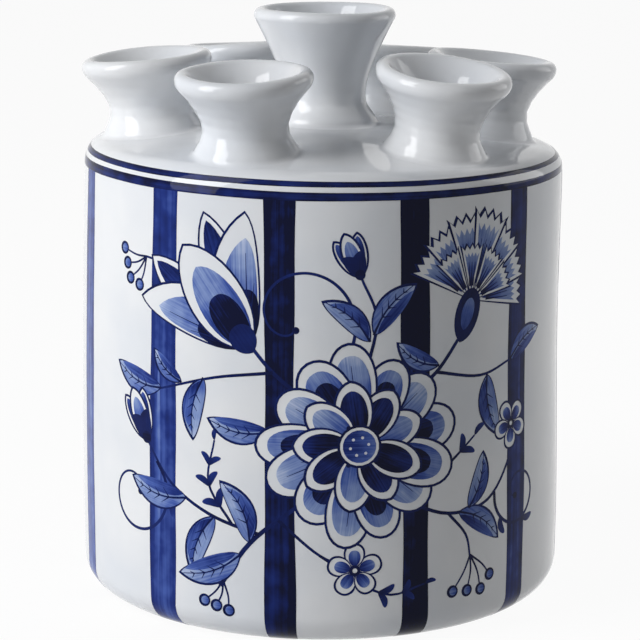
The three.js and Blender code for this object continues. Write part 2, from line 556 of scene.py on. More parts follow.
@dataclass
class Drum:
    """The straight drum: a foot ring, a soft bottom edge, a faintly bellied wall, a floor.

    Attributes:
        radius: Of the wall, just above the bottom edge.
        belly: The radius that the wall's curve bends towards halfway up.
        seam_radius: Of the wall at the seam with the shoulder.
        seam_height: How high that seam is.
        wall: How thick the wall is at the seam.
        floor_top: How high the floor is inside.
        foot_edge: How far the soft bottom edge reaches in, and up.
        foot_recess: How far the base is hollowed inside the foot ring.
        foot_ring_inner: Radius where the base turns down to the foot ring.
        foot_slope: From there to the middle of the slope down to the ring's face.
        foot_slope_width: How far that slope reaches out.
        glaze_limit: The foot is wiped bare below this height.
        inner_corner: Radius of the corner between the floor and the wall.
        flat: How far the wall fell in on one side as it dried.
        flat_turn: Where that side faces.
        flat_rise: Where the flat's deepest place lies: 1 for halfway up, more for higher.
        flat_focus: How fast it fades from there to the edge and the seam.
        steps: Facets in the full turn.
    """

    radius: float = 79.9
    belly: float = 80.9
    seam_radius: float = 78.9
    seam_height: float = 143.15
    wall: float = 5.5
    floor_top: float = 8.0
    foot_edge: complex = 13 + 10.5j
    foot_recess: float = 2.0
    foot_ring_inner: float = 56.0
    foot_slope: complex = 1 - 1.3j
    foot_slope_width: float = 2.6
    glaze_limit: float = 0.35
    inner_corner: float = 10.0
    flat: float = 1.3
    flat_turn: float = 88.0
    flat_rise: float = 1.3
    flat_focus: float = 1.5
    steps: int = 180

    def wall_outline(self) -> Outline:
        """The outside of the wall.

        Returns:
            Its points, from where it leaves the table up to the seam.
        """
        edge_centre = complex(self.radius - self.foot_edge.real, self.foot_edge.imag)
        edge = arc(edge_centre, self.foot_edge, -90, 0, 16)
        belly = complex(self.belly, self.seam_height / 2)
        seam = complex(self.seam_radius, self.seam_height)
        return edge + bezier([edge[-1], belly, seam], 24)[1:]

    def outline(self) -> Outline:
        """The whole profile.

        Returns:
            Its points, from the middle of the base round to the middle of the floor.
        """
        inside = self.seam_radius - self.wall
        corner = complex(inside - self.inner_corner, self.floor_top + self.inner_corner)
        turn_down = complex(self.foot_ring_inner, self.foot_recess)
        ring_face = complex(self.foot_ring_inner + self.foot_slope_width, 0)
        return [
            1j * self.foot_recess,
            *smooth_through([turn_down, turn_down + self.foot_slope, ring_face], 4),
            *self.wall_outline(),
            complex(inside, self.seam_height),
            *arc(corner, self.inner_corner * (1 + 1j), 0, -90, 8),
            1j * self.floor_top,
        ]

    def flattened(self, places: np.ndarray) -> np.ndarray:
        """Moves points of a true round wall to where they dried, a little flat on one side.

        Args:
            places: The points, in millimetres.

        Returns:
            Where they are now.
        """
        x, y, z = places.T
        share = np.clip((z - self.foot_edge.imag) / (self.seam_height - self.foot_edge.imag), 0, 1)
        facing = np.clip(np.cos(np.arctan2(x, -y) - math.radians(self.flat_turn)), 0, 1)
        fall = np.abs(np.sin(math.pi * share**self.flat_rise)) ** self.flat_focus
        moved = self.flat * fall * facing**2
        scale = 1 - moved / np.maximum(np.hypot(x, y), 1)
        return np.c_[x * scale, y * scale, z]

    def make(self, glaze: bpy.types.Material, bare: bpy.types.Material) -> bpy.types.Object:
        """Throws the drum, and wipes its foot ring bare.

        Args:
            glaze: The white glaze.
            bare: The bare clay of the foot ring.

        Returns:
            The finished drum.
        """
        piece = turn_on_wheel("drum_glazed", self.outline(), self.steps)
        move_corners(piece, self.flattened(corners_of(piece)))
        piece.data.materials.append(glaze)
        piece.data.materials.append(bare)
        for face in piece.data.polygons:
            if face.center.z < self.glaze_limit * MM:
                face.material_index = 1
        return piece


@dataclass
class Shoulder:
    """The domed top: a turned-over edge, a low dome, and a rib that locates it inside the drum.

    It settled in the kiln, so its top falls a little towards the back right.

    Attributes:
        radius: At the seam with the drum.
        seam_height: How high that seam is.
        edge: Half width and half height of the turned-over edge.
        edge_end: The angle of the edge's ellipse at which the dome begins.
        dome_height: How high the dome's middle is.
        thickness: How thick the dome is in its middle.
        rib_outer: Outer radius of the rib.
        rib_width: How thick the rib is.
        rib_foot: How high its lower end is.
        settle: How far the edge sank on the low side, and rose on the other.
        settle_turn: Where the low side faces.
        steps: Facets in the full turn.
    """

    radius: float = 78.9
    seam_height: float = 143.15
    edge: complex = 7.3 + 7.1j
    edge_end: float = 80.3
    dome_height: float = 156.4
    thickness: float = 5.5
    rib_outer: float = 73.1
    rib_width: float = 4.0
    rib_foot: float = 138.5
    settle: float = 1.5
    settle_turn: float = 120.0
    steps: int = 180

    @property
    def dome_foot(self) -> complex:
        """Where the turned-over edge ends and the dome begins."""
        return self.edge_outline()[-1]

    def edge_outline(self) -> Outline:
        """The turned-over edge, from the seam to the dome."""
        centre = complex(self.radius - self.edge.real, self.seam_height)
        return arc(centre, self.edge, 0, self.edge_end, 12)

    def outline(self) -> Outline:
        """The whole profile.

        Returns:
            Its points, from the seam over the dome, back under it and round the rib.
        """
        foot, top = self.dome_foot, self.dome_height
        inner = self.rib_outer - self.rib_width
        under = top - self.thickness
        drop = (top - foot.imag) * (inner / foot.real) ** 2
        return [
            *self.edge_outline(),
            *bezier([foot, complex(foot.real / 2, top), 1j * top], 20),
            *bezier([1j * under, complex(inner / 2, under), complex(inner, under - drop)], 12),
            complex(inner, self.rib_foot),
            complex(self.rib_outer, self.rib_foot),
            complex(self.rib_outer, self.seam_height),
            complex(self.radius, self.seam_height),
        ]

    def sunk(self, x: np.ndarray, y: np.ndarray, z: np.ndarray) -> np.ndarray:
        """How far points of the shoulder sank: not at the seam, and all the way above the edge.

        Args:
            x: How far right they are.
            y: How far back they are.
            z: How high they are.

        Returns:
            How far each of them sank.
        """
        around = math.radians(self.settle_turn)
        downhill = (x * math.sin(around) - y * math.cos(around)) / self.radius
        return self.settle * downhill * np.clip((z - self.seam_height) / self.edge.imag, 0, 1)

    def top(self, x: np.ndarray, y: np.ndarray) -> np.ndarray:
        """The height of the shoulder's top over points of the plan.

        Args:
            x: How far right they are.
            y: How far back they are.

        Returns:
            The height over each of them.
        """
        reach = np.hypot(x, y)
        foot = self.dome_foot
        dome = self.dome_height - (self.dome_height - foot.imag) * (reach / foot.real) ** 2
        out = np.clip((reach - self.radius + self.edge.real) / self.edge.real, 0, 1)
        edge = self.seam_height + self.edge.imag * np.sqrt(1 - out * out)
        height = np.where(reach < foot.real, dome, edge)
        return height - self.sunk(x, y, height)

    def make(self, glaze: bpy.types.Material, spouts: tuple[Spout, ...]) -> bpy.types.Object:
        """Throws the shoulder, lets it settle and opens it under each spout.

        Args:
            glaze: The white glaze.
            spouts: The spouts, for where they stand.

        Returns:
            The finished shoulder.
        """
        piece = turn_on_wheel("shoulder_glazed", self.outline(), self.steps)
        places = corners_of(piece)
        places[:, 2] -= self.sunk(*places.T)
        move_corners(piece, places)
        piece.data.materials.append(glaze)
        for spout in spouts:
            cutter = spout.cutter(self)
            apply_modifier(piece, "BOOLEAN", object=cutter, operation="DIFFERENCE", solver="EXACT")
            bpy.data.objects.remove(cutter)
        shade_smooth(piece)
        return piece


@dataclass
class Spout:
    """A trumpet spout, thrown alone: a spread foot, a waist, a flare and a rolled lip.

    It is luted to the shoulder while both are soft, so its foot is pressed to the dome with no
    step. The pulls are how far a curve's handles lie from its ends.

    Attributes:
        name: The name of its CAD node.
        turn: Where it stands round the shoulder.
        reach: How far its foot's middle is from the vase's axis.
        lean: How far it leans outwards.
        height: From the shoulder to the top of its lip.
        throat: Radius of the bore through its waist.
        foot: Radius of the spread foot.
        foot_fillet: How far the glaze fills the corner beyond the foot.
        foot_limit: Distances from the vase's axis where the foot begins to be trimmed, and where
            it has to end.
        toe: The fillet's curve from its outer end to the foot: across in fillets, up in
            millimetres.
        feather: The thin end beyond it: across in fillets, up in millimetres.
        sink: How far the foot's underside lies in the shoulder.
        cone_pull: From the fillet's end up the spread foot.
        waist: Radius of the waist.
        waist_height: How high the waist is.
        waist_pull: From the waist down the spread foot.
        trumpet_pulls: From the waist up and from the lip down, as shares of the rise.
        lip_centre: Radius of the middle of the rolled lip.
        lip_radius: Of the roll.
        lip_fall: How far the roll's underside reaches in, and down.
        roll_pull: From both ends of that underside, as a share of its reach.
        flare_angle: How far the flare leans from the axis.
        funnel_pull: From the lip down inside the flare, as a share of the depth.
        throat_pulls: Heights of the funnel's other handle and its end, as shares of the depth.
        throat_foot: How high the straight bore's lowest ring is.
        wobble: How far the lip wanders up and down.
        wobble_phase: Turns its high places to another side, in radians.
        squeeze: How much the lip is pressed out of round, as a share.
        throwing_line: How far the thrower's spiral stands out.
        throwing_pitch: How far apart its turns are.
        steps: Facets in the full turn.
        bore_depth: Length of the bar that opens the shoulder.
    """

    name: str
    turn: float = 0.0
    reach: float = 0.0
    lean: float = 0.0
    height: float = 25.3
    throat: float = 9.7
    foot: float = 16.5
    foot_fillet: float = 2.3
    foot_limit: tuple[float, float] = (71.0, 76.4)
    toe: tuple[complex, ...] = (1 + 0j, 0.12 + 0.02j, -0.18 + 1.4j)
    feather: complex = 1.7 - 0.012j
    sink: float = 0.15
    cone_pull: complex = -0.9 + 1.9j
    waist: float = 13.6
    waist_height: float = 7.8
    waist_pull: float = 3.4
    trumpet_pulls: tuple[float, float] = (0.3, 0.4)
    lip_centre: float = 19.3
    lip_radius: float = 2.45
    lip_fall: complex = 1.3 + 3.2j
    roll_pull: float = 0.34
    flare_angle: float = 44.0
    funnel_pull: float = 0.36
    throat_pulls: tuple[float, float] = (0.5, 0.1)
    throat_foot: float = 2.0
    wobble: float = 0.3
    wobble_phase: float = 0.0
    squeeze: float = 0.012
    throwing_line: float = 0.08
    throwing_pitch: float = 3.4
    steps: int = 96
    bore_depth: float = 33.0

    def beyond_foot(self, point: complex) -> complex:
        """A point of the profile, from its distance past the foot in fillets and its height."""
        return complex(self.foot + point.real * self.foot_fillet, point.imag)

    def outside(self, flare: complex, lip: complex) -> Outline:
        """The outside, from the foot's thin end up to the lip's widest place.

        Args:
            flare: The way that the flare goes, as a step of length 1.
            lip: The middle of the lip's roll.

        Returns:
            The outside's points.
        """
        waist = complex(self.waist, self.waist_height)
        lip_side = lip + self.lip_radius
        flare_end = lip_side - self.lip_fall
        rise = flare_end.imag - self.waist_height
        low_pull, high_pull = self.trumpet_pulls
        bend = self.roll_pull * abs(self.lip_fall)
        toe = [self.beyond_foot(point) for point in self.toe]
        cone = [toe[-1], toe[-1] + self.cone_pull, waist - 1j * self.waist_pull, waist]
        low, high = waist + 1j * low_pull * rise, flare_end - high_pull * rise * flare
        roll = [flare_end, flare_end + bend * flare, lip_side - 1j * bend, lip_side]
        return [
            self.beyond_foot(self.feather),
            *bezier(toe, 8),
            *bezier(cone, 12),
            *bezier([waist, low, high, flare_end], 16),
            *bezier(roll, 7),
        ]

    def inside(self, flare: complex, lip: complex) -> Outline:
        """The inside, from the lip down the funnel and the bore.

        Args:
            flare: The way that the flare goes, as a step of length 1.
            lip: The middle of the lip's roll.

        Returns:
            The inside's points.
        """
        funnel_end = lip - self.lip_radius * flare * -1j
        depth = funnel_end.imag - self.waist_height
        high, low = (
            self.throat + 1j * (self.waist_height + pull * depth) for pull in self.throat_pulls
        )
        funnel = [funnel_end, funnel_end - self.funnel_pull * depth * flare, high, low]
        return [*bezier(funnel, 16), self.throat + 1j * self.throat_foot]

    def outline(self) -> Outline:
        """The whole profile, measured up the spout's own axis from the top of the shoulder.

        Returns:
            Its points, from the bore out under the foot, up outside, over the lip and back down.
        """
        angle = math.radians(self.flare_angle)
        flare = complex(math.sin(angle), math.cos(angle))
        lip = complex(self.lip_centre, self.height - self.lip_radius - self.wobble)
        under = -1j * self.sink
        return [
            self.throat + under,
            self.beyond_foot(self.feather) + under,
            *self.outside(flare, lip),
            *arc(lip, self.lip_radius * (1 + 1j), 0, 180 - self.flare_angle, 14),
            *self.inside(flare, lip),
            self.throat + under,
        ]

    def place(self, shoulder: Shoulder) -> Matrix:
        """Where the spout stands: its foot's middle on the shoulder, and its lean from the axis.

        Args:
            shoulder: The shoulder that it stands on.

        Returns:
            The matrix that takes the spout there.
        """
        around = math.radians(self.turn)
        x, y = self.reach * math.sin(around), -self.reach * math.cos(around)
        top = float(shoulder.top(np.array(x), np.array(y)))
        spot = Matrix.Translation((x * MM, y * MM, top * MM))
        lean = Matrix.Rotation(math.radians(self.lean), 4, "X")
        return spot @ Matrix.Rotation(around, 4, "Z") @ lean

    def cutter(self, shoulder: Shoulder) -> bpy.types.Object:
        """A round bar, placed to open the shoulder under the spout.

        Args:
            shoulder: The shoulder that it opens.

        Returns:
            The bar.
        """
        select_only()
        bpy.ops.mesh.primitive_cylinder_add(
            vertices=self.steps, radius=self.throat * MM, depth=self.bore_depth * MM
        )
        bar = bpy.context.object
        bar.matrix_world = self.place(shoulder)
        select_only(bar)
        bpy.ops.object.transform_apply()
        return bar

    def make(self, glaze: bpy.types.Material, shoulder: Shoulder) -> bpy.types.Object:
        """Throws the spout and lutes it to the shoulder.

        Args:
            glaze: The white glaze.
            shoulder: The shoulder that it stands on.

        Returns:
            The finished spout.
        """
        piece = turn_on_wheel(self.name + "_glazed", self.outline(), self.steps)
        thrown = corners_of(piece)
        self.leave_hand_marks(thrown)
        placed = np.c_[thrown, np.full(len(thrown), 1 / MM)] @ np.array(self.place(shoulder)).T
        places = placed[:, :3]
        self.press_foot(places, thrown[:, 2], shoulder)
        move_corners(piece, places)
        piece.data.materials.append(glaze)
        return piece

    def leave_hand_marks(self, places: np.ndarray) -> None:
        """Lets the lip wander a little out of true, and leaves the thrower's faint spiral.

        Args:
            places: The spout's vertices as thrown, upright. They are changed.
        """
        x, y, z = places.T
        around = np.arctan2(y, x) + self.wobble_phase
        share = soft_step((z - self.waist_height) / (self.height - self.waist_height))
        spiral = np.sin(2 * math.pi * z / self.throwing_pitch + around)
        spiral *= soft_step(z / self.waist_height)
        spiral *= 1 - share**2
        wander = np.sin(2 * around) + 0.6 * np.sin(3 * around + 1)
        swell = 1 - self.squeeze * share * (1 + np.cos(2 * around + 2.1))
        swell += self.throwing_line * spiral / np.maximum(np.hypot(x, y), self.throat)
        places[:, 2] += self.wobble * share * 0.5 * wander
        places[:, :2] *= swell[:, None]

    def press_foot(self, places: np.ndarray, heights: np.ndarray, shoulder: Shoulder) -> None:
        """Presses the soft foot down, so that it follows the dome, and trims it at the edge.

        Args:
            places: The spout's vertices where it stands. They are changed.
            heights: How high each one is above the foot, up the spout's own axis.
            shoulder: The shoulder under it.
        """
        soft = soft_step(1 - heights / self.waist_height)
        start, limit = self.foot_limit
        reach = np.hypot(places[:, 0], places[:, 1])
        trimmed = start + (limit - start) * np.tanh((reach - start) / (limit - start))
        scale = 1 + soft * (np.where(reach > start, trimmed, reach) / np.maximum(reach, 1) - 1)
        places[:, :2] *= scale[:, None]
        frame = np.array(self.place(shoulder))
        spot, up = frame[:3, 3] / MM, frame[:3, 2]
        x, y = places[:, 0], places[:, 1]
        level = spot[2] - ((x - spot[0]) * up[0] + (y - spot[1]) * up[1]) / up[2]
        places[:, 2] += soft * (shoulder.top(x, y) - level)


# The painting

STREAK_STEP = 7.31 + 3.17j  # From one lot of streaks to the next, in millimetres.
STREAK_LOTS = 97
INSIDE_THE_MARKS = 1  # The triangles that the cut keeps: those inside an outline.
CUT_MM = 1e-4  # Corners of the drawing that lie nearer than this are one.


class Pigment(Enum):
    """What a mark of the brush lays down, named as the piece that its marks make together.

    A reserve keeps the glaze bare over what was painted before it, and makes no piece.
    """

    RESERVE = "bare_glaze"
    STRIPE = "cobalt_stripes"
    RING = "cobalt_rings"
    WASH = "cobalt_washes"
    LINE = "cobalt_lines"


@dataclass
class Mark:
    """One mark of the brush on the unrolled wall.

    Attributes:
        outline: Its edge, closed, in millimetres.
        pigment: What it lays down.
        start: Where the brush came down.
        way: The brush's way, as a step of length 1.
        length: How far the brush went.
        width: The mark's width.
        loads: How full of colour the brush was where it came down and where it left, 1 for full.
        edge: How much fuller the colour is at the sides, where it gathers.
    """

    outline: Outline
    pigment: Pigment
    start: complex
    way: complex
    length: float
    width: float
    loads: tuple[float, float]
    edge: float = 0.0

    def brush_place(self, point: complex) -> complex:
        """A point's place across and along the mark."""
        local = (point - self.start) * self.way.conjugate()
        return complex(-local.imag, local.real)

    def load_at(self, place: complex) -> float:
        """How thick the colour is at a place.

        Args:
            place: The place across and along the mark.

        Returns:
            The load there.
        """
        gone = min(max(place.imag / self.length, 0.0), 1.0)
        side = min(abs(place.real) / (self.width / 2), 1.0)
        return self.loads[0] + (self.loads[1] - self.loads[0]) * gone + self.edge * side**2

    def streak_shift(self) -> complex:
        """How far this mark's streaks are shifted, so that like marks don't show the same ones.

        The lot is drawn from the mark's own place and size, so it is the same on every run.
        """
        lot = int(abs(self.start) * 37 + abs(self.way.real) * 911 + self.length * 13)
        return STREAK_STEP * (lot % STREAK_LOTS)


MarkedTriangles = list[tuple[tuple[int, ...], Mark]]


@dataclass
class Brush:
    """Lays marks one after another. A later mark covers the earlier ones."""

    marks: list[Mark] = field(default_factory=list)

    def blade(
        self,
        base: complex,
        tip: complex,
        width: float,
        pigment: Pigment,
        loads: tuple[float, float] = (0.9, 0.9),
        roundness: float = 0.3,
        bow: float = 0.0,
        edge: float = 0.0,
    ) -> None:
        """Paints a petal or leaf in one press of the brush.

        Args:
            base: Where it starts.
            tip: Where it ends.
            width: Its greatest width.
            pigment: What it lays down.
            loads: How full the brush was at both ends.
            roundness: 0 for a pointed tip and 1 for a round one.
            bow: How far its middle stands out to the left, as a share of its length.
            edge: How much fuller the colour is at the sides.
        """
        length = abs(tip - base)
        way = (tip - base) / length
        belly = complex(0.16 * length, 0.64 * width)
        cheek = complex((0.78 + 0.24 * roundness) * length, (0.56 + 0.1 * roundness) * width)
        left = bezier([0j, belly, cheek, complex(length, 0)], 14)
        right = [point.conjugate() for point in left[-2:0:-1]]
        bowed = [p + 4j * bow * p.real * (length - p.real) / length for p in left + right]
        placed = [base + p * way for p in bowed]
        self.marks.append(Mark(placed, pigment, base, way, length, width, loads, edge))

    def comma(self, base: complex, tip: complex, side: int) -> None:
        """Paints a small comma leaf that bows to one side: 1 is left and -1 is right."""
        self.blade(base, tip, 0.4 * abs(tip - base), Pigment.LINE, (0.95, 0.7), 0.7, 0.12 * side)

    def petal(
        self,
        base: complex,
        tip: complex,
        width: float,
        loads: tuple[float, float],
        roundness: float = 0.6,
        bow: float = 0.0,
        fill: tuple[float, float] = (0.72, 0.62),
        line: float = 0.75,
        veins: int = 0,
        heart: float = 0.0,
    ) -> None:
        """Paints an outlined white petal with a tongue of colour from its base.

        Args:
            base: Where the petal starts.
            tip: Where it ends.
            width: Its greatest width.
            loads: How full the brush was for the tongue, at its base and tip.
            roundness: 0 for a pointed tip and 1 for a round one.
            bow: How far its middle stands out to the left, as a share of its length.
            fill: The tongue's length and width as shares of the petal's.
            line: The outline's width.
            veins: How many fine lines run up the tongue.
            heart: How far the tongue's dark heart reaches, as a share of the petal's length.
        """
        length = abs(tip - base)
        way = (tip - base) / length
        self.blade(base, tip, width, Pigment.LINE, roundness=roundness, bow=bow)
        inner, outer = base + 0.4 * line * way, tip - 1.15 * line * way
        self.blade(inner, outer, width - 2 * line, Pigment.RESERVE, roundness=roundness, bow=bow)
        tongue_length, tongue_width = fill[0], width * fill[1]
        self.blade(
            inner,
            base + tongue_length * (tip - base),
            tongue_width,
            Pigment.WASH,
            loads,
            roundness=min(roundness + 0.2, 1),
            bow=bow * tongue_length,
            edge=0.15,
        )
        if heart > 0:
            core = base + heart * (tip - base)
            self.blade(
                inner, core, tongue_width * 0.74, Pigment.WASH, (1.1, 0.95), 1.0, bow * heart
            )
        for i in range(veins):
            lean = (i - (veins - 1) / 2) * 0.3
            reach = tongue_length * (0.86 - 0.9 * abs(lean)) * length
            end = base + reach * way * cmath.rect(1, lean * width / length)
            self.stroke([base + 1.5 * way, end], 0.7, 0.15)

    def stroke(self, points: Outline, start_width: float, end_width: float) -> None:
        """Draws a fine line through points, thinner or thicker on its way.

        Args:
            points: Points that the line passes, two or more.
            start_width: Its width where it starts.
            end_width: Its width where it ends.
        """
        curve = smooth_through(points, 6) if len(points) > 2 else points
        last = len(curve) - 1
        left, right = [], []
        for i, point in enumerate(curve):
            along = curve[min(i + 1, last)] - curve[max(i - 1, 0)]
            share = i / last
            half = (start_width + (end_width - start_width) * share) / 2
            side = 1j * along / abs(along) * half
            left.append(point + side)
            right.append(point - side)
        run = points[-1] - points[0]
        way, length = run / abs(run), max(abs(run), 1.0)
        width = max(start_width, end_width)
        outline = left + right[::-1]
        self.marks.append(
            Mark(outline, Pigment.LINE, points[0], way, length, width, loads=(0.95, 0.85))
        )

    def disc(
        self,
        centre: complex,
        radius: float,
        pigment: Pigment,
        loads: tuple[float, float] = (0.95, 0.95),
        corners: int = 20,
    ) -> None:
        """Paints a round spot.

        Args:
            centre: Its middle.
            radius: Its radius.
            pigment: What it lays down.
            loads: How full the brush was at the spot's left and at its right.
            corners: How many corners its edge has.
        """
        outline = [centre + radius * heading(360 * (i + 0.5) / corners) for i in range(corners)]
        size = 2 * radius
        self.marks.append(Mark(outline, pigment, centre - radius, 1 + 0j, size, size, loads))


@dataclass
class Aster:
    """A wide open bloom, seen from the front: two rings of strap petals round a seed head.

    Attributes:
        centre: Its middle.
        radius: To the tips of the outer petals.
        outer_petals: How many petals the outer ring has.
        inner_petals: How many the inner ring has.
        turn: Where the first outer petal points.
    """

    centre: complex
    radius: float
    outer_petals: int = 13
    inner_petals: int = 9
    turn: float = 0.0

    def paint(self, brush: Brush) -> None:
        """Paints the outer ring, then the inner one over it, then the seed head.

        The outer petals are veined and dark hearted by turns, and each one is a little uneven.

        Args:
            brush: The brush.
        """
        for i in range(self.outer_petals):
            veined = i % 2 == 1
            way = heading(self.turn + 360 * i / self.outer_petals + 2.2 * math.sin(2.4 * i))
            reach = self.radius * (1 - 0.05 * (i % 3) + 0.02 * math.sin(3.1 * i))
            brush.petal(
                self.centre + 0.2 * reach * way,
                self.centre + reach * way * heading(4),
                (0.49 + 0.03 * math.sin(1.7 * i + 1)) * self.radius,
                (0.66, 0.1) if veined else (0.7, 0.3),
                roundness=0.85,
                fill=(0.84, 0.7),
                veins=3 if veined else 0,
                heart=0 if veined else 0.68,
            )
        for i in range(self.inner_petals):
            uneven = 2.5 * math.sin(1.9 * i + 2)
            way = heading(self.turn + 17 + 360 * i / self.inner_petals + uneven)
            reach = self.radius * (0.66 - 0.04 * (i % 2) + 0.02 * math.sin(2.7 * i))
            brush.petal(
                self.centre + 0.1 * reach * way,
                self.centre + reach * way * heading(-5),
                0.4 * self.radius,
                (1.05, 0.8) if i % 3 else (0.7, 0.15),
                roundness=0.55,
                fill=(0.82, 0.68),
            )
        self.paint_seed_head(brush)

    def paint_seed_head(self, brush: Brush) -> None:
        """Paints the dotted middle.

        Args:
            brush: The brush.
        """
        size = 0.21 * self.radius
        brush.disc(self.centre, size, Pigment.LINE)
        brush.disc(self.centre, size - 0.8, Pigment.RESERVE)
        brush.disc(self.centre, size - 1.7, Pigment.WASH, (0.75, 0.45))
        for i in range(9):
            brush.disc(self.centre + (size - 0.1) * heading(40 * i), 0.75, Pigment.LINE, corners=10)
        for i in range(6):
            spot = self.centre + 0.42 * size * heading(60 * i + 12)
            brush.disc(spot, 0.5, Pigment.RESERVE, corners=8)


@dataclass
class Tulip:
    """A tulip seen from the side, its petals flamed with lines.

    Attributes:
        base: Where it sits on its stem.
        aim: Where it points.
        length: From there to its tip.
    """

    base: complex
    aim: float
    length: float

    def paint(self, brush: Brush) -> None:
        """Paints the back petals, the side petals, the front one and then the cup.

        Args:
            brush: The brush.
        """
        base, size, way = self.base, self.length, heading(self.aim)
        for lean in (17, -17):
            tip = base + 0.97 * size * heading(self.aim + lean)
            brush.petal(base, tip, 0.36 * size, (0.5, 0.85), roundness=0.15, fill=(0.93, 0.62))
        for lean in (36, -36):
            brush.petal(
                base,
                base + 0.93 * size * heading(self.aim + lean),
                0.4 * size,
                (0.7, 0.15),
                roundness=0.12,
                bow=math.copysign(0.09, -lean),
                fill=(0.8, 0.7),
                veins=3,
                heart=0.42,
            )
        brush.petal(
            base - 0.02 * size * way,
            base + 0.84 * size * way,
            0.48 * size,
            (0.7, 0.2),
            roundness=0.3,
            fill=(0.78, 0.68),
            heart=0.5,
        )
        foot, top = base - 0.06 * size * way, base + 0.16 * size * way
        brush.blade(foot, top, 0.2 * size, Pigment.LINE, roundness=0.9)


@dataclass
class Carnation:
    """A carnation seen from the side: a fan of pinked petals over a long cup.

    Attributes:
        base: Where it sits on its stem.
        aim: Where it points.
        length: From there to its edge.
    """

    base: complex
    aim: float
    length: float

    def paint(self, brush: Brush) -> None:
        """Paints the fan from its sides to its middle, then a shorter fan, then the cup.

        Args:
            brush: The brush.
        """
        base, size, way = self.base, self.length, heading(self.aim)
        top = base + 0.3 * size * way
        for lean in (68, -68, 46, -46, 23, -23, 0):
            self.paint_petal(brush, top, self.aim + lean, 0.74 * size * (1 - abs(lean) / 400))
        for lean in (50, -50, 17, -17):
            self.paint_petal(brush, top, self.aim + lean, 0.46 * size)
        low, high = base - 0.04 * size * way, top + 0.1 * size * way
        brush.blade(low, high, 0.24 * size, Pigment.LINE, roundness=0.8)
        low, high = base + 0.06 * size * way, top + 0.02 * size * way
        brush.blade(low, high, 0.12 * size, Pigment.WASH, (0.7, 0.3), roundness=0.8)

    def paint_petal(self, brush: Brush, base: complex, aim: float, length: float) -> None:
        """Paints one wedge with a pinked edge, its white border, its dark heart and its veins.

        Args:
            brush: The brush.
            base: The wedge's point.
            aim: Where it points.
            length: How long it is.
        """
        way = heading(aim)
        for share, spread, pigment, loads in (
            (1.0, 15.5, Pigment.LINE, (0.9, 0.9)),
            (0.955, 13.8, Pigment.RESERVE, (0, 0)),
            (0.82, 11, Pigment.WASH, (1.0, 0.2)),
        ):
            outline = [base + (1 - share) * length * way]
            for i in range(9):
                reach = length * share * (1.0 if i % 2 == 0 else 0.91)
                outline.append(base + reach * heading(aim - spread + spread * i / 4))
            brush.marks.append(
                Mark(outline, pigment, base, way, length * share, length * 0.4, loads)
            )
        for lean in (-6, 0, 6):
            low, high = (base + share * length * heading(aim + lean) for share in (0.25, 0.66))
            brush.stroke([low, high], 0.7, 0.2)


@dataclass
class Leaf:
    """A lance leaf: a pale wash, one half darker, and a fine rib with side veins."""

    base: complex
    aim: float
    length: float
    bow: float
    broad: float = 0.42

    def on_rib(self, share: float) -> complex:
        """The rib's place at a share of its length."""
        rise = share + 4j * self.bow * share * (1 - share)
        return self.base + rise * self.length * heading(self.aim)

    def paint(self, brush: Brush) -> None:
        """Paints the leaf's outline, its washes, its rib and its veins.

        Args:
            brush: The brush.
        """
        way = heading(self.aim)
        base, tip = self.base, self.base + self.length * way
        width = self.broad * self.length
        brush.blade(base, tip, width, Pigment.LINE, roundness=0.0, bow=self.bow)
        brush.blade(
            base + 0.5 * way,
            tip - 1.1 * way,
            width - 1.2,
            Pigment.WASH,
            (0.42, 0.12),
            roundness=0.0,
            bow=self.bow,
            edge=0.15,
        )
        side = 1j * way * width * 0.2
        brush.blade(
            base + 0.06 * self.length * way - side * 0.4,
            tip - 0.12 * self.length * way - side * 0.3,
            width * 0.42,
            Pigment.WASH,
            (0.78, 0.45),
            roundness=0.1,
            bow=self.bow - 0.09,
        )
        brush.stroke([self.on_rib(share) for share in (0, 0.3, 0.6, 0.93)], 0.75, 0.25)
        for i in range(1, 5):
            share = 0.12 + 0.16 * i
            root = self.on_rib(share)
            reach = 0.34 * width * (1.15 - share)
            for lean in (42, -42):
                brush.stroke([root, root + reach * 1.25 * heading(self.aim + lean)], 0.5, 0.15)


@dataclass
class Starflower:
    """A small flower with five round petals.

    Attributes:
        centre: Its middle.
        size: To the tips of its petals.
        turn: Where the first petal points.
    """

    centre: complex
    size: float
    turn: float = 0.0

    def paint(self, brush: Brush) -> None:
        """Paints the petals and the eye.

        Args:
            brush: The brush.
        """
        for i in range(5):
            way = heading(self.turn + 72 * i)
            brush.petal(
                self.centre + 0.12 * self.size * way,
                self.centre + self.size * way,
                0.78 * self.size,
                (0.85, 0.3),
                roundness=0.95,
                fill=(0.7, 0.55),
                line=0.6,
            )
        brush.disc(self.centre, 0.2 * self.size, Pigment.LINE, corners=14)
        brush.disc(self.centre, 0.09 * self.size, Pigment.RESERVE, corners=10)


@dataclass
class Bud:
    """A closed bud in two sepals.

    Attributes:
        base: Where it sits on its stem.
        aim: Where it points.
        length: From there to its tip.
    """

    base: complex
    aim: float
    length: float

    def paint(self, brush: Brush) -> None:
        """Paints the petals, then the sepals and the knot under them.

        Args:
            brush: The brush.
        """
        base, size, way = self.base, self.length, heading(self.aim)
        for lean in (16, -16):
            tip = base + 0.96 * size * heading(self.aim + lean)
            brush.petal(base, tip, 0.44 * size, (0.95, 0.6), roundness=0.3, fill=(0.9, 0.6))
        tip = base + size * way
        brush.petal(base, tip, 0.5 * size, (0.7, 0.25), roundness=0.35, fill=(0.8, 0.62))
        for lean in (20, -20):
            tip = base + 0.56 * size * heading(self.aim + lean)
            brush.blade(base, tip, 0.34 * size, Pigment.LINE, bow=math.copysign(0.08, -lean))
        brush.disc(base + 0.06 * size * way, 0.11 * size, Pigment.LINE, corners=16)


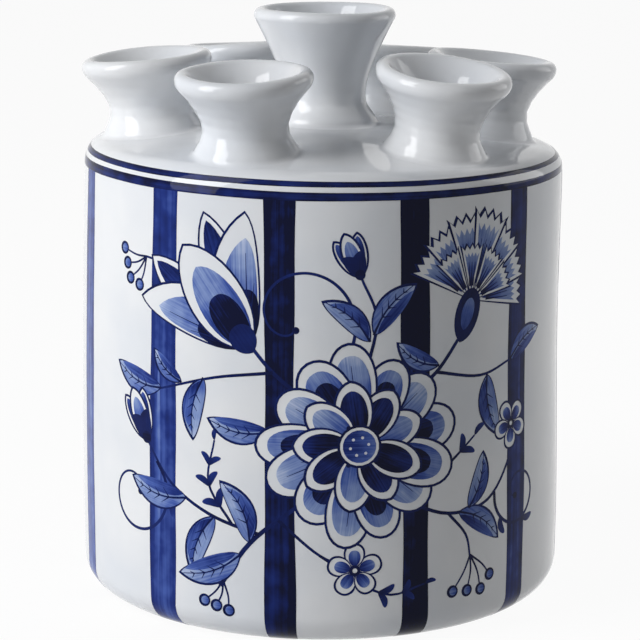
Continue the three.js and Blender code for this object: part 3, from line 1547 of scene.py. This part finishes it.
@dataclass
class Tendril:
    """A curling shoot: a stem that winds up, with a bead at its end and small comma leaves.

    Attributes:
        start: Where it leaves its stem.
        centre: What it winds round.
        turns: How many times.
        side: Which way: 1 is left and -1 is right.
        commas: How many leaves it has.
    """

    start: complex
    centre: complex
    turns: float
    side: int
    commas: int

    def paint(self, brush: Brush) -> None:
        """Paints the shoot, then its bead and its leaves.

        Args:
            brush: The brush.
        """
        arm = self.start - self.centre
        count = int(self.turns * 16)
        points = []
        for i in range(count + 1):
            share = i / count
            shrink = (1 - share) ** 0.8 * 0.84 + 0.16
            turned = heading(self.side * 360 * self.turns * share)
            points.append(self.centre + arm * shrink * turned)
        brush.stroke(points, 1.15, 0.6)
        brush.disc(points[-1], 1.15, Pigment.LINE, corners=14)
        for i in range(self.commas):
            spot, after = points[2 + 3 * i], points[3 + 3 * i]
            way = (after - spot) / abs(after - spot) * heading(-34 * self.side)
            brush.comma(spot, spot + 6.5 * way, -self.side)


@dataclass
class Sprig:
    """A thin stem with small comma leaves in pairs and one at its end.

    Attributes:
        points: Points that the stem passes.
        pairs: How many pairs of leaves it has.
        leaf: How long a leaf is.
    """

    points: Outline
    pairs: int
    leaf: float = 6.5

    def paint(self, brush: Brush) -> None:
        """Paints the stem, then its leaves.

        Args:
            brush: The brush.
        """
        curve = smooth_through(self.points, 12)
        brush.stroke(self.points, 0.95, 0.6)
        for i in range(self.pairs + 1):
            place = int((len(curve) - 2) * (i + 1) / (self.pairs + 1))
            way = curve[place + 1] - curve[place]
            way /= abs(way)
            size = self.leaf * (1 - 0.12 * i)
            if i == self.pairs:
                brush.comma(curve[-1], curve[-1] + size * way, 1)
            else:
                for side in (1, -1):
                    brush.comma(curve[place], curve[place] + size * way * heading(44 * side), -side)


@dataclass
class Berries:
    """A spray of berries on short stalks.

    Attributes:
        root: Where the stalks meet.
        aim: Where the spray points.
        count: How many berries it has.
        length: How long a stalk is.
    """

    root: complex
    aim: float
    count: int
    length: float = 13.0

    def paint(self, brush: Brush) -> None:
        """Paints each stalk and its berry.

        Args:
            brush: The brush.
        """
        bend = 0.8 * heading(self.aim + 90)
        for i in range(self.count):
            lean = (i - (self.count - 1) / 2) * 26
            spot = self.root + self.length * (1 - 0.1 * (i % 2)) * heading(self.aim + lean)
            brush.stroke([self.root, (self.root + spot) / 2 + bend, spot], 0.7, 0.5)
            brush.disc(spot, 2.1, Pigment.LINE, corners=16)
            brush.disc(spot + 0.2, 1.35, Pigment.WASH, (0.3, 0.6), corners=14)


@dataclass
class Wall:
    """The outside of the drum and the turned-over edge, unrolled flat for painting.

    Across is the way round from the front at the drum's radius, and up is the way up the outline.
    On the straight wall that is the height, and it goes on down round the bottom edge.

    Attributes:
        drum: The drum.
        shoulder: The shoulder on it.
        outline: The outline's points, from the foot to the dome.
        ways_up: The way up to each of them.
    """

    drum: Drum
    shoulder: Shoulder
    outline: np.ndarray = field(init=False)
    ways_up: np.ndarray = field(init=False)

    def __post_init__(self) -> None:
        """Measures the way up the outline, which is the height where the straight wall begins."""
        points = without_repeats(self.drum.wall_outline() + self.shoulder.edge_outline())
        self.outline = np.array(points)
        ways = np.r_[0, np.cumsum(np.abs(np.diff(self.outline)))]
        wall_foot = self.drum.foot_edge.imag
        edge_top = next(i for i, point in enumerate(points) if point.imag >= wall_foot - 1e-6)
        self.ways_up = ways - ways[edge_top] + wall_foot

    def place(self, points: np.ndarray, lift: float) -> np.ndarray:
        """Rolls points of the drawing round the vase.

        Args:
            points: Points of the drawing, as complex numbers.
            lift: How far off the glaze they are, in millimetres.

        Returns:
            Their places, in millimetres.
        """
        radius = np.interp(points.imag, self.ways_up, self.outline.real)
        height = np.interp(points.imag, self.ways_up, self.outline.imag)
        middles = (self.ways_up[1:] + self.ways_up[:-1]) / 2
        slopes = np.unwrap(np.angle(np.diff(self.outline)))
        slope = np.interp(points.imag, middles, slopes)
        out = np.exp(1j * (slope - math.pi / 2))
        radius, height = radius + lift * out.real, height + lift * out.imag
        around = points.real / self.drum.radius
        true = np.c_[radius * np.sin(around), -radius * np.cos(around), height]
        places = self.drum.flattened(true)
        places[:, 2] -= self.shoulder.sunk(*true.T)
        return places


@dataclass(frozen=True)
class Stripe:
    """An upright stripe, drawn down the wall by hand.

    Attributes:
        top_turn: Where its top is round the wall.
        foot_turn: Where its foot is.
        width: Its width.
        load: How full of colour the brush was at its foot.
    """

    top_turn: float
    foot_turn: float
    width: float
    load: float


@dataclass(frozen=True)
class Ring:
    """A ring round the shoulder's edge, banded on a turning wheel.

    Attributes:
        height: How high it is in front.
        width: Its width.
        tilt: How much higher it is on the right, and lower on the left.
        lift: How much higher it is on both sides.
    """

    height: float
    width: float
    tilt: float
    lift: float


@dataclass
class Painting:
    """All the blue: rings, stripes and a spray of flowers, drawn on the unrolled wall.

    Attributes:
        wall: The wall that is painted.
        stripes: The stripes, each one a few degrees off its even place.
        stripe_top: The way up the wall to their tops, under the lower ring.
        stripe_foot: The way to their feet, on the bottom edge.
        stripe_rows: How many points each side of a stripe has.
        stripe_run: How far the brush goes until it is down to a stripe's load.
        rings: The two rings.
        skin: How thick the painted skins are.
        weld: Vertices of a skin that lie nearer than this are one.
        facet: The angle of the wall that one flat strip of a skin spans.
        drawn_rows: The lowest and the highest row that the drawing reaches.
        wall_rows: Where the skins are folded across on the wall.
        foot_rows: The same on the bottom edge: from, to and step.
        ring_rows: The same on the shoulder's edge.
    """

    wall: Wall
    stripes: tuple[Stripe, ...] = (
        Stripe(-71.4, -71.2, 9.5, 0.5),
        Stripe(-38.2, -38.7, 10.6, 0.6),
        Stripe(-9.7, -8.7, 9.6, 0.88),
        Stripe(20.8, 22.4, 9.2, 0.97),
        Stripe(51.3, 52.1, 9.2, 0.74),
        Stripe(86.8, 87.2, 8.9, 0.66),
        Stripe(115.8, 116.4, 9.1, 0.8),
        Stripe(144.9, 145.5, 9.6, 0.56),
        Stripe(174.2, 173.6, 9.2, 0.74),
        Stripe(-157.0, -156.5, 9.4, 0.62),
        Stripe(-128.0, -128.7, 9.0, 0.8),
        Stripe(-99.0, -98.5, 9.5, 0.7),
    )
    stripe_top: float = 143.6
    stripe_foot: float = -3.2
    stripe_rows: int = 26
    stripe_run: float = 150.0
    rings: tuple[Ring, ...] = (Ring(143.75, 2.4, -0.45, 0.2), Ring(147.3, 1.75, 0.23, 0.7))
    skin: float = 0.1
    weld: float = 0.001
    facet: float = 2.0
    drawn_rows: tuple[float, float] = (-6.0, 150.0)
    wall_rows: tuple[float, ...] = (24, 40, 60, 80, 100, 120, 136)
    foot_rows: tuple[float, float, float] = (-3, 12.1, 1.5)
    ring_rows: tuple[float, float, float] = (142.7, 149, 0.45)

    def draw_stripes(self, brush: Brush) -> None:
        """Draws the stripes, each a little uneven, with colour gathered at its sides.

        A slightly paler sliver shows beside each stripe's middle.

        Args:
            brush: The brush that they are laid with.
        """
        heights = np.linspace(self.stripe_top, self.stripe_foot, self.stripe_rows)
        gone = np.linspace(0, 1, self.stripe_rows)
        for i, stripe in enumerate(self.stripes):
            turns = stripe.top_turn + (stripe.foot_turn - stripe.top_turn) * gone
            middle = np.radians(turns) * self.wall.drum.radius
            sway = 0.2 * np.sin(heights / 23 + 2.1 * i) + 0.12 * np.sin(heights / 7 + i)
            width = stripe.width * (1 + 0.03 * np.sin(heights / 31 + 1.3 * i))
            left = [complex(*p) for p in zip(middle + sway - width / 2, heights)]
            right = [complex(*p) for p in zip(middle - sway + width / 2, heights)]
            brush.marks.append(
                Mark(
                    left + right[::-1],
                    Pigment.STRIPE,
                    start=complex(middle[0], heights[0]),
                    way=-1j,
                    length=self.stripe_run,
                    width=stripe.width,
                    loads=(stripe.load + 0.1, stripe.load),
                    edge=0.14,
                )
            )
            aside = 0.16 * stripe.width * (-1) ** i
            top, foot = (
                complex(middle[row] + aside, heights[row]) for row in (8 + i % 3, 22 - i % 4)
            )
            loads = (stripe.load, stripe.load - 0.14)
            brush.blade(foot, top, 0.2 * stripe.width, Pigment.STRIPE, loads, roundness=0.0)

    def draw_rings(self, brush: Brush) -> None:
        """Draws the rings, each with a faint waver.

        Args:
            brush: The brush that they are laid with.
        """
        half_turn = math.pi * self.wall.drum.radius
        around = np.linspace(-1, 1, 181)
        angles = around * math.pi
        aside = np.sin(angles)
        for ring in self.rings:
            middle = ring.height + ring.tilt * aside + ring.lift * aside**2
            waver = 0.07 * np.sin(angles * 5 + ring.height) + 0.05 * np.sin(angles * 11)
            lower, upper = middle - ring.width / 2 + waver, middle + ring.width / 2 + 0.6 * waver
            low = [complex(*p) for p in zip(half_turn * around, lower)]
            high = [complex(*p) for p in zip(half_turn * around, upper)]
            brush.marks.append(
                Mark(
                    low + high[::-1],
                    Pigment.RING,
                    start=complex(-half_turn, ring.height),
                    way=1 + 0j,
                    length=2 * half_turn,
                    width=ring.width,
                    loads=(0.88, 0.88),
                    edge=0.1,
                )
            )

    def draw_spray(self, brush: Brush) -> None:
        """Draws the spray: stems and shoots first, then leaves, then the flowers over them.

        Args:
            brush: The brush that it is painted with.
        """
        for points, widths in (
            ([-32 + 19j, -22 + 34j, -8 + 46j, 10 + 60j], (1.6, 1.2)),
            ([-4 + 80j, -15 + 89j, -23 + 98j], (1.3, 1.1)),
            ([26 + 80j, 37 + 88j, 46 + 99j], (1.3, 1.1)),
            ([-19 + 37j, -36 + 42j, -50 + 50j, -60 + 62j], (1.2, 0.8)),
            ([26 + 48j, 42 + 42j, 58 + 44j, 68 + 56j, 69 + 66j], (1.2, 0.8)),
            ([42 + 42j, 49 + 34j, 51 + 26j], (1.0, 0.7)),
            ([-15 + 89j, -34 + 86j, -54 + 80j], (1.1, 0.7)),
            ([37 + 88j, 54 + 85j, 68 + 88j], (1.1, 0.7)),
            ([14 + 90j, 17 + 106j, 12 + 119j], (1.1, 0.8)),
            ([-13 + 42j, 0 + 31j, 10 + 27j], (1.0, 0.7)),
            ([-36 + 108j, -48 + 119j, -61 + 121j], (1.0, 0.7)),
        ):
            brush.stroke(points, *widths)
        for shoot in (
            Tendril(61 + 46j, 73 + 44j, 1.15, 1, 2),
            Tendril(-56 + 56j, -66 + 44j, 1.1, -1, 1),
            Tendril(-8 + 84j, -8 + 106j, 1.0, 1, 1),
        ):
            shoot.paint(brush)
        Sprig([-28 + 39.6j, -36 + 52j, -34 + 66j], 3).paint(brush)
        Sprig([0 + 31j, 20 + 18j, 34 + 20j], 3).paint(brush)
        Sprig([42 + 58j, 52 + 66j], 1, 6).paint(brush)
        for leaf in (
            Leaf(-44 + 46j, 172, 24, 0.1),
            Leaf(-34 + 41.5j, -112, 22, -0.1),
            Leaf(-25 + 30j, -158, 24, 0.1),
            Leaf(-22 + 34j, 118, 22, -0.12),
            Leaf(-54 + 80j, 165, 22, 0.1),
            Leaf(-38 + 85.5j, -100, 21, -0.1),
            Leaf(-46 + 83j, 140, 15, 0.1),
            Leaf(-16 + 70j, 172, 21, 0.1),
            Leaf(46 + 42j, -34, 21, 0.1),
            Leaf(50 + 42.5j, 72, 19, -0.1),
            Leaf(68 + 88j, 24, 20, 0.1),
            Leaf(57 + 85j, -74, 22, -0.1),
            Leaf(16 + 101j, 48, 21, 0.1),
            Leaf(15 + 99j, 140, 20, -0.1),
            Leaf(38 + 90j, 150, 17, 0.12),
        ):
            leaf.paint(brush)
        Berries(51 + 27j, -82, 4).paint(brush)
        Berries(-31 + 21j, -105, 3, 10).paint(brush)
        Berries(-61 + 121j, 212, 4, 11).paint(brush)
        Tulip(-23 + 97j, 128, 45).paint(brush)
        Carnation(46 + 98j, 72, 40).paint(brush)
        Bud(-60 + 62j, 115, 18).paint(brush)
        Bud(12 + 119j, 112, 15).paint(brush)
        Starflower(11 + 26j, 9, 20).paint(brush)
        Starflower(69 + 67j, 8.5, 50).paint(brush)
        Aster(12 + 66j, 33, turn=8).paint(brush)

    def folds(self) -> list[tuple[complex, complex]]:
        """The lines up and across the drawing on which the skins bend with the wall.

        Returns:
            The two ends of each line.
        """
        half_turn = math.pi * self.wall.drum.radius
        columns = half_turn * np.linspace(-1, 1, int(360 / self.facet) + 1)
        rows = [*np.arange(*self.foot_rows), *self.wall_rows, *np.arange(*self.ring_rows)]
        low, high = self.drawn_rows
        return [
            *((complex(x, low), complex(x, high)) for x in columns),
            *((complex(-half_turn, y), complex(half_turn, y)) for y in rows),
        ]

    def cut(self, marks: list[Mark]) -> tuple[np.ndarray, dict[Pigment, MarkedTriangles]]:
        """Cuts the drawing into triangles, each showing the last mark laid over it.

        Args:
            marks: The marks, in the order that they were laid.

        Returns:
            The corners as complex numbers, and for each pigment its triangles with their marks.
        """
        corners: list[complex] = []
        edges: list[tuple[int, int]] = []
        faces: list[list[int]] = []
        for mark in marks:
            ring = mark.outline
            turn = sum((a.conjugate() * b).imag for a, b in zip(ring, ring[1:] + ring[:1]))
            first = len(corners)
            corners += ring if turn > 0 else ring[::-1]
            faces.append(list(range(first, first + len(ring))))
        for fold in self.folds():
            edges.append((len(corners), len(corners) + 1))
            corners += fold
        flat = [(point.real, point.imag) for point in corners]
        places, _, triangles, _, _, sources = delaunay_2d_cdt(
            flat, edges, faces, INSIDE_THE_MARKS, CUT_MM, True
        )
        shown: dict[Pigment, MarkedTriangles] = {pigment: [] for pigment in Pigment}
        for triangle, source in zip(triangles, sources):
            if source:
                mark = marks[max(source)]
                shown[mark.pigment].append((tuple(triangle), mark))
        return np.array([complex(*place) for place in places]), shown

    def lay(
        self, pigment: Pigment, points: np.ndarray, shown: MarkedTriangles
    ) -> bpy.types.Object:
        """Lays one pigment's triangles on the wall as a thin closed skin.

        Args:
            pigment: The pigment, which names the piece.
            points: The drawing's corners.
            shown: The pigment's triangles with their marks.

        Returns:
            The skin, with its maps "brush" and "load".
        """
        used = sorted({i for triangle, _ in shown for i in triangle})
        renumbered = {old: new for new, old in enumerate(used)}
        places = self.wall.place(points[used], -self.skin / 2) * MM
        mesh = bpy.data.meshes.new(pigment.value)
        mesh.from_pydata(places.tolist(), [], [[renumbered[i] for i in t] for t, _ in shown])
        spots, loads = [], []
        for triangle, mark in shown:
            shift = mark.streak_shift()
            for i in triangle:
                spot = mark.brush_place(complex(points[i]))
                spots += [spot.real + shift.real, spot.imag + shift.imag]
                loads.append(mark.load_at(spot))
        mesh.uv_layers.new(name="brush").data.foreach_set("uv", spots)
        mesh.attributes.new("load", "FLOAT", "CORNER").data.foreach_set("value", loads)
        piece = bpy.data.objects.new(pigment.value, mesh)
        bpy.context.scene.collection.objects.link(piece)
        select_only(piece)
        bpy.ops.object.mode_set(mode="EDIT")
        bpy.ops.mesh.select_all(action="SELECT")
        bpy.ops.mesh.remove_doubles(threshold=self.weld * MM)
        bpy.ops.object.mode_set(mode="OBJECT")
        apply_modifier(piece, "SOLIDIFY", thickness=self.skin * MM, offset=1.0)
        shade_smooth(piece)
        return piece

    def make(self, finishes: dict[Pigment, Cobalt]) -> list[bpy.types.Object]:
        """Draws everything, cuts it and lays each pigment.

        Args:
            finishes: The cobalt that each pigment is painted with.

        Returns:
            The painted skins.
        """
        brush = Brush()
        self.draw_stripes(brush)
        self.draw_rings(brush)
        self.draw_spray(brush)
        points, shown = self.cut(brush.marks)
        skins = []
        for pigment, finish in finishes.items():
            piece = self.lay(pigment, points, shown[pigment])
            piece.data.materials.append(finish.make())
            skins.append(piece)
        return skins


# The studio


@dataclass(frozen=True)
class Lamp:
    """A soft box that faces the middle of the vase.

    Attributes:
        name: The lamp's name.
        place: Where it stands.
        size: Its width and height.
        power: Its power in watts.
        aim_height: How high the spot is that it faces.
    """

    name: str
    place: tuple[float, float, float]
    size: tuple[float, float]
    power: float
    aim_height: float = 100.0

    def make(self) -> None:
        """Hangs the lamp and turns it to the vase."""
        data = bpy.data.lights.new(self.name, "AREA")
        data.shape = "RECTANGLE"
        data.size, data.size_y = (side * MM for side in self.size)
        data.energy = self.power
        lamp = bpy.data.objects.new(self.name, data)
        bpy.context.scene.collection.objects.link(lamp)
        spot = Matrix.Translation([share * MM for share in self.place])
        aim = spot.translation - Matrix.Translation((0, 0, self.aim_height * MM)).translation
        lamp.matrix_world = spot @ aim.to_track_quat("Z", "Y").to_matrix().to_4x4()


@dataclass
class Studio:
    """A pale floor, a white sky, a large soft lamp from the left and a weak one from the right.

    Attributes:
        camera_back: How far in front of the vase's axis the camera is.
        camera_height: How high it is.
        pitch: How far it looks down, in radians.
        yaw: How far it looks to the right.
        roll: How far it leans.
        lens: Its focal length.
        sensor: The width of its sensor.
        lamps: The lamps.
        floor_size: The floor's side.
        floor_colour: The floor's colour as it lights the vase.
        floor_glow: How white the floor is where it is seen, as a share.
        sky_glow: The same for the sky.
        sky_light: How brightly the sky lights the vase.
    """

    camera_back: float = 870.94
    camera_height: float = 275.43
    pitch: float = 0.211016
    yaw: float = -0.000741
    roll: float = -0.0093
    lens: float = 149.06
    sensor: float = 36.0
    lamps: tuple[Lamp, ...] = (
        Lamp("key_left", (-1210, -643, 710), (700, 1750), 24.3),
        Lamp("panel_right", (650, 200, 340), (450, 450), 1.05),
    )
    floor_size: float = 16000.0
    floor_colour: str = "#D8D8D8"
    floor_glow: float = 0.945
    sky_glow: float = 0.97
    sky_light: float = 0.1

    def make(self) -> None:
        """Sets up the camera, the lamps, the floor and the sky."""
        self.place_camera()
        for lamp in self.lamps:
            lamp.make()
        self.make_floor()
        self.make_sky()

    def place_camera(self) -> None:
        """Places the camera where the photographer stood."""
        data = bpy.data.cameras.new("camera")
        data.lens, data.sensor_width = self.lens, self.sensor
        camera = bpy.data.objects.new("camera", data)
        bpy.context.scene.collection.objects.link(camera)
        across = np.array([math.cos(self.yaw), -math.sin(self.yaw), 0])
        ahead = np.array([math.sin(self.yaw), math.cos(self.yaw), 0])
        upright = np.array([0, 0, 1.0])
        forward = math.cos(self.pitch) * ahead - math.sin(self.pitch) * upright
        up = math.sin(self.pitch) * ahead + math.cos(self.pitch) * upright
        right = math.cos(self.roll) * across - math.sin(self.roll) * up
        up = math.sin(self.roll) * across + math.cos(self.roll) * up
        frame = np.eye(4)
        frame[:3, 0], frame[:3, 1], frame[:3, 2] = right, up, -forward
        frame[:3, 3] = 0, -self.camera_back * MM, self.camera_height * MM
        camera.matrix_world = Matrix(frame.tolist())
        bpy.context.scene.camera = camera

    def make_floor(self) -> None:
        """Lays a pale paper floor that looks white and keeps a soft shadow."""
        select_only()
        bpy.ops.mesh.primitive_plane_add(size=self.floor_size * MM)
        floor = bpy.context.object
        floor.name = "floor"
        material, tree, shader = new_material("floor_paper")
        seen = self.add_seen(tree)
        greys = {"To Min": linear(self.floor_colour)[0], "To Max": 1.0}
        paper = add_node(tree, "ShaderNodeMapRange", greys, {"Value": seen})
        tree.links.new(paper.outputs["Result"], shader.inputs["Base Color"])
        shader.inputs["Roughness"].default_value = 1.0
        shader.inputs["Specular IOR Level"].default_value = 0.0
        glow = add_node(tree, "ShaderNodeEmission", {"Color": (1, 1, 1, 1), "Strength": 1.0})
        share = add_node(
            tree, "ShaderNodeMath", {"operation": "MULTIPLY", 1: self.floor_glow}, {0: seen}
        )
        mix = add_node(
            tree,
            "ShaderNodeMixShader",
            links={0: share.outputs[0], 1: shader.outputs[0], 2: glow.outputs[0]},
        )
        tree.links.new(mix.outputs[0], tree.nodes["Material Output"].inputs["Surface"])
        floor.data.materials.append(material)

    def make_sky(self) -> None:
        """Makes the sky a white backdrop where it is seen, and a dim fill light elsewhere."""
        world = bpy.data.worlds.new("studio")
        bpy.context.scene.world = world
        world.use_nodes = True
        tree = world.node_tree
        sky = tree.nodes["Background"]
        sky.inputs["Color"].default_value = (1, 1, 1, 1)
        strengths = {"To Min": self.sky_light, "To Max": self.sky_glow}
        strength = add_node(
            tree, "ShaderNodeMapRange", strengths, {"Value": self.add_seen(tree)}
        )
        tree.links.new(strength.outputs["Result"], sky.inputs["Strength"])

    @staticmethod
    def add_seen(tree: bpy.types.NodeTree) -> bpy.types.NodeSocket:
        """Adds a value that is 1 where the eye sees the surface, straight or in a gloss or glass.

        Args:
            tree: The node tree of what is seen.

        Returns:
            The value.
        """
        path = add_node(tree, "ShaderNodeLightPath")
        total = path.outputs["Is Camera Ray"]
        for name in ("Is Glossy Ray", "Is Transmission Ray"):
            both = add_node(
                tree, "ShaderNodeMath", {"operation": "MAXIMUM"}, {0: total, 1: path.outputs[name]}
            )
            total = both.outputs[0]
        return total


SPOUTS = (
    Spout(
        "centre_spout",
        height=37.6,
        foot=18.0,
        waist=13.7,
        waist_height=8.4,
        lip_centre=21.2,
        lip_radius=2.25,
        lip_fall=0.3 + 1.2j,
        flare_angle=28,
    ),
    Spout("spout_front_left", -25, 57, 4.7, 25.8, wobble_phase=0.4),
    Spout("spout_front_right", 40, 54.5, 8.8, 27.2, wobble_phase=1.9),
    Spout("spout_right", 95, 53.5, 5.2, 26, foot_limit=(68.5, 73.0), wobble_phase=3.0),
    Spout("spout_back_right", 158, 55, 6, 24.3, wobble_phase=4.1),
    Spout("spout_back_left", -151, 56, 6, 24.2, wobble_phase=5.2),
    Spout("spout_left", -85, 56.3, 5.3, 25.3, wobble_phase=0.9),
)


def main() -> None:
    """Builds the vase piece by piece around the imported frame."""
    logging.basicConfig(level=logging.INFO, format="%(message)s")
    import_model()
    bpy.context.scene.view_settings.view_transform = "Standard"
    Studio().make()

    glaze = WhiteGlaze().make()
    drum, shoulder = Drum(), Shoulder()
    hand_in(drum.make(glaze, BareClay().make()), "drum")
    hand_in(shoulder.make(glaze, SPOUTS), "shoulder")
    for spout in SPOUTS:
        hand_in(spout.make(glaze, shoulder), spout.name)

    finishes = {
        Pigment.STRIPE: Cobalt(
            "cobalt_stripe", streak_mm=1.5, streak_length_mm=75.0, streak_amount=0.42
        ),
        Pigment.RING: Cobalt("cobalt_ring", streak_amount=0.3),
        Pigment.WASH: Cobalt("cobalt_wash"),
        Pigment.LINE: Cobalt("cobalt_line", streak_amount=0.1, pool_amount=0.2),
    }
    for skin in Painting(Wall(drum, shoulder)).make(finishes):
        hand_in(skin)


if __name__ == "__main__":
    main()
